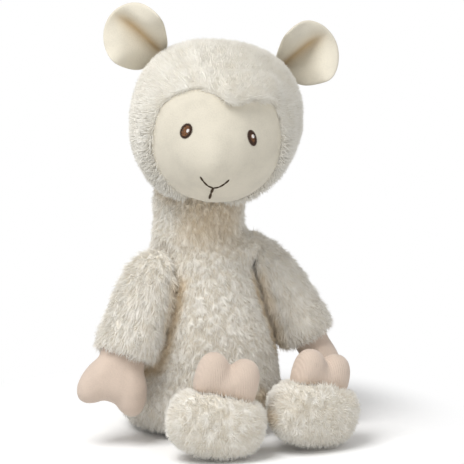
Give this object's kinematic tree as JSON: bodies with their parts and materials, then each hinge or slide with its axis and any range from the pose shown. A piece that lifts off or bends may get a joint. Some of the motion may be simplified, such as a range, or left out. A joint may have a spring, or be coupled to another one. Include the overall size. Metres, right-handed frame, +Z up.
{
  "type": "plush llama",
  "caption": "Sitting cream plush llama with a furry hood round a velour face, stitched eyes and mouth, cloven velour hoofs, upturned feet and limbs that hang on soft seams.",
  "frame": {"origin": "centre of the flat under the seat, on the floor", "axes": "+Z up, -Y to the front of the body, +X to the toy's left"},
  "size_m": [0.1996, 0.2043, 0.2959],
  "materials": {
    "fur": "matte",
    "hood": "matte",
    "velour": "matte",
    "hoof": "matte",
    "dark_thread": "matte",
    "white_thread": "matte",
    "fibre": "matte",
    "pellet_bag": "matte"
  },
  "bodies": {
    "torso": {"torso_fur": "fur", "seat_pellet_bag": "pellet_bag", "torso_stuffing": "fibre"},
    "neck": {"neck_ball": "fibre"},
    "head": {"head_hood": "hood", "face_panel": "velour", "head_stuffing": "fibre", "right_eye": "dark_thread", "right_eye_glint": "white_thread", "left_eye": "dark_thread", "left_eye_glint": "white_thread", "mouth_stitching": "dark_thread"},
    "right_ear": {"right_ear_back": "velour", "right_ear_lining": "velour"},
    "left_ear": {"left_ear_back": "velour", "left_ear_lining": "velour"},
    "right_arm": {"right_arm_fur": "fur", "right_hand_hoof": "hoof", "right_arm_stuffing": "fibre"},
    "left_arm": {"left_arm_fur": "fur", "left_hand_hoof": "hoof", "left_arm_stuffing": "fibre"},
    "right_leg": {"right_leg_fur": "fur", "right_toe_hoof": "hoof", "right_leg_stuffing": "fibre", "right_heel_pellet_bag": "pellet_bag"},
    "left_leg": {"left_leg_fur": "fur", "left_toe_hoof": "hoof", "left_leg_stuffing": "fibre", "left_heel_pellet_bag": "pellet_bag"},
    "tail": {"tail_fur": "fur"}
  },
  "joints": [
    {"name": "head_nod", "type": "hinge", "parent": "torso", "child": "neck", "pos_m": [0, 0, 0.158], "axis": [0.891, -0.454, 0], "range_deg": [-15, 15], "stiffness_Nm_per_rad": 0.7},
    {"name": "head_turn", "type": "hinge", "parent": "neck", "child": "head", "pos_m": [0, 0, 0.158], "axis": [0, 0, 1], "range_deg": [-20, 65], "stiffness_Nm_per_rad": 0.3},
    {"name": "right_ear_fold", "type": "hinge", "parent": "head", "child": "right_ear", "pos_m": [-0.03113, 0.00545, 0.2628], "axis": [0.5834, -0.4111, 0.7005], "range_deg": [-30, 30], "stiffness_Nm_per_rad": 0.006},
    {"name": "left_ear_fold", "type": "hinge", "parent": "head", "child": "left_ear", "pos_m": [0.0504, -0.03608, 0.25319], "axis": [0.6255, -0.2188, -0.7489], "range_deg": [-30, 30], "stiffness_Nm_per_rad": 0.006},
    {"name": "right_arm_lift", "type": "hinge", "parent": "torso", "child": "right_arm", "pos_m": [-0.03205, -0.0098, 0.134], "axis": [-0.2924, 0.9563, 0], "range_deg": [0, 80]},
    {"name": "left_arm_lift", "type": "hinge", "parent": "torso", "child": "left_arm", "pos_m": [0.03038, -0.01417, 0.134], "axis": [-0.4226, -0.9063, 0], "range_deg": [0, 80]},
    {"name": "right_leg_swing", "type": "hinge", "parent": "torso", "child": "right_leg", "pos_m": [-0.02232, -0.05525, 0.027], "axis": [-0.9272, 0.3746, 0], "range_deg": [-25, 30]},
    {"name": "left_leg_swing", "type": "hinge", "parent": "torso", "child": "left_leg", "pos_m": [0.02038, -0.05599, 0.027], "axis": [-0.9397, -0.342, 0], "range_deg": [-25, 30]},
    {"name": "tail_lift", "type": "hinge", "parent": "torso", "child": "tail", "pos_m": [0, 0.05702, 0.046], "axis": [1, 0, 0], "range_deg": [0, 45]}
  ]
}
